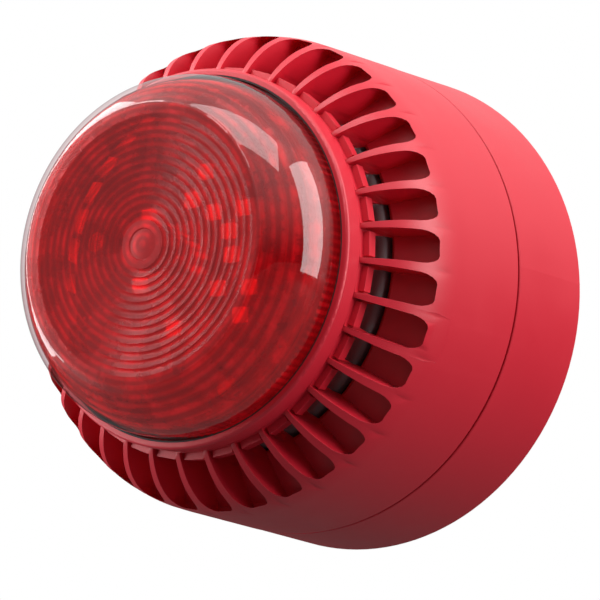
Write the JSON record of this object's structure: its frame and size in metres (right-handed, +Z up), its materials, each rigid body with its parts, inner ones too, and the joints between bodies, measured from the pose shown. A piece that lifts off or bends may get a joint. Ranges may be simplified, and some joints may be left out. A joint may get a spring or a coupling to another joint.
{
  "type": "horn strobe",
  "caption": "Round wall-mounted fire alarm sounder with an LED beacon under a red lens, a slotted shoulder and a shallow twist-lock base.",
  "frame": {"origin": "centre of the cable entry, in the plane of the wall", "axes": "+Y points into the wall along the round body's axis, the lens looks along -Y, +Z is up"},
  "size_m": [0.098, 0.077, 0.098],
  "materials": {
    "red_plastic": "satin moulded plastic, signal red",
    "dark_plastic": "matt dark grey moulding",
    "drum_grey": "matt mid grey moulding",
    "lens_clear": "polished clear polycarbonate",
    "lens_red": "polished red polycarbonate with moulded rings",
    "rubber_black": "matt rubber",
    "foam": "closed-cell foam",
    "contact_brass": "bright rolled",
    "zinc_steel": "zinc plated",
    "board_green": "solder mask",
    "board_dark": "dark solder mask",
    "chip_black": "moulded epoxy",
    "capacitor_sleeve": "shrunk sleeve",
    "switch_blue": "moulded nylon",
    "white_plastic": "white moulding",
    "terminal_grey": "moulded nylon",
    "reflector": "metallised plastic",
    "led_lens": "clear epoxy"
  },
  "bodies": {
    "root": {"wall_base": "red_plastic", "wall_gasket": "foam", "terminal_block": "terminal_grey", "terminal_clamps": "zinc_steel", "terminal_screws": "zinc_steel", "contact_carrier": "dark_plastic", "contact_springs": "contact_brass"},
    "head": {"rear_chassis": "dark_plastic", "chassis_seal": "rubber_black", "contact_blades": "contact_brass", "head_shell": "red_plastic", "chassis_screws": "zinc_steel", "sounder_board": "board_green", "capacitors": "capacitor_sleeve", "logic_chips": "chip_black", "surface_mount_parts": "chip_black", "transformer": "chip_black", "tone_switch_body": "switch_blue", "volume_body": "switch_blue", "sounder_plate": "dark_plastic", "plate_screws": "zinc_steel", "piezo_disc": "contact_brass", "piezo_ceramic": "white_plastic", "piezo_clamp": "dark_plastic", "piezo_pins": "contact_brass", "acoustic_drum": "drum_grey", "beacon_posts": "dark_plastic", "beacon_board": "board_dark", "beacon_screws": "zinc_steel", "riser_pins": "contact_brass", "led_packages": "white_plastic", "beacon_reflector": "reflector", "centre_led": "led_lens", "beacon_capacitor": "capacitor_sleeve", "beacon_chips": "chip_black", "beacon_smalls": "chip_black", "lens_bezel": "red_plastic", "lens_seal": "rubber_black", "lens_cover": "lens_clear", "inner_lens": "lens_red"},
    "lock_screw": {"lock_screw": "zinc_steel"},
    "volume_rotor": {"volume_rotor": "white_plastic"},
    "tone_slider_1": {"tone_slider_1": "white_plastic"},
    "tone_slider_2": {"tone_slider_2": "white_plastic"},
    "tone_slider_3": {"tone_slider_3": "white_plastic"},
    "tone_slider_4": {"tone_slider_4": "white_plastic"},
    "tone_slider_5": {"tone_slider_5": "white_plastic"}
  },
  "joints": [
    {"name": "head_twist", "type": "hinge", "parent": "root", "child": "head", "pos_m": [0, 0, 0], "axis": [0, -1, 0], "range_deg": [0, 25]},
    {"name": "lock_screw_turn", "type": "hinge", "parent": "root", "child": "lock_screw", "pos_m": [-0.04196, -0.0115, -0.01957], "axis": [-0.9063, 0, -0.4226], "range_deg": [-720, 0]},
    {"name": "volume_turn", "type": "hinge", "parent": "head", "child": "volume_rotor", "pos_m": [0.012, -0.024, 0.013], "axis": [0, 1, 0], "range_deg": [-135, 135]},
    {"name": "tone_slide_1", "type": "slide", "parent": "head", "child": "tone_slider_1", "axis": [0, 0, 1], "range_m": [0, 0.0012]},
    {"name": "tone_slide_2", "type": "slide", "parent": "head", "child": "tone_slider_2", "axis": [0, 0, 1], "range_m": [0, 0.0012]},
    {"name": "tone_slide_3", "type": "slide", "parent": "head", "child": "tone_slider_3", "axis": [0, 0, 1], "range_m": [0, 0.0012]},
    {"name": "tone_slide_4", "type": "slide", "parent": "head", "child": "tone_slider_4", "axis": [0, 0, 1], "range_m": [0, 0.0012]},
    {"name": "tone_slide_5", "type": "slide", "parent": "head", "child": "tone_slider_5", "axis": [0, 0, 1], "range_m": [0, 0.0012]}
  ]
}
